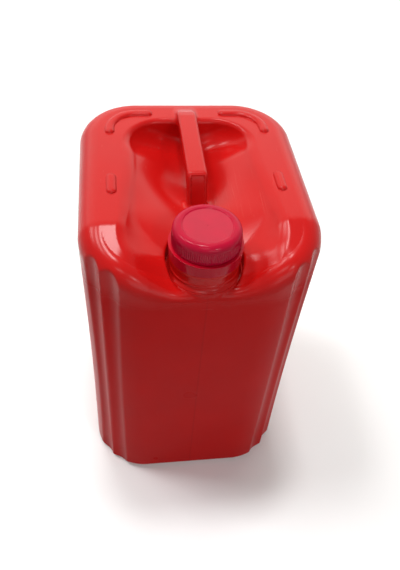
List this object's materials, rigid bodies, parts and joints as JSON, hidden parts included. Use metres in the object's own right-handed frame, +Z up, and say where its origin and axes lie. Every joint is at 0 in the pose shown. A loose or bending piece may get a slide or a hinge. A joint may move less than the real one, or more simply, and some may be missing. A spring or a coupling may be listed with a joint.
{
  "type": "plastic jerrycan",
  "caption": "Stackable blow-moulded plastic jerrycan with a scooped deck, moulded carrying handle, fluted corners and a ribbed screw cap over a tamper ring.",
  "frame": {"origin": "under the middle of the can, on the plane its foot rests on", "axes": "+Z up; the neck and cap are at the front, towards -Y; the handle runs along Y in the plane X = 0"},
  "size_m": [0.242, 0.281, 0.4],
  "materials": {
    "can_body": "satin red blow-moulded polyethylene",
    "screw_cap": "glossy crimson injection-moulded polyethylene",
    "tamper_band": "glossy crimson injection-moulded polyethylene",
    "gasket": "off-white foamed sealing disc"
  },
  "bodies": {
    "can": {"can_body": "can_body"},
    "tamper_ring": {"tamper_band": "tamper_band"},
    "seal": {"gasket": "gasket"},
    "closure": {"screw_cap": "screw_cap"}
  },
  "joints": [
    {"name": "tamper_ring_turn", "type": "hinge", "parent": "can", "child": "tamper_ring", "pos_m": [0, -0.1023, 0.3726], "axis": [0, 0, 1], "continuous": true},
    {"name": "cap_lift", "type": "slide", "parent": "can", "child": "seal", "axis": [0, 0, 1], "range_m": [0, 0.0136]},
    {"name": "cap_turn", "type": "hinge", "parent": "seal", "child": "closure", "pos_m": [0, -0.1023, 0.39], "axis": [0, 0, 1], "range_deg": [0, 810]}
  ],
  "couplings": [
    {"joint": "cap_lift", "follows": "cap_turn", "m_per_rad": 0.00095493}
  ]
}
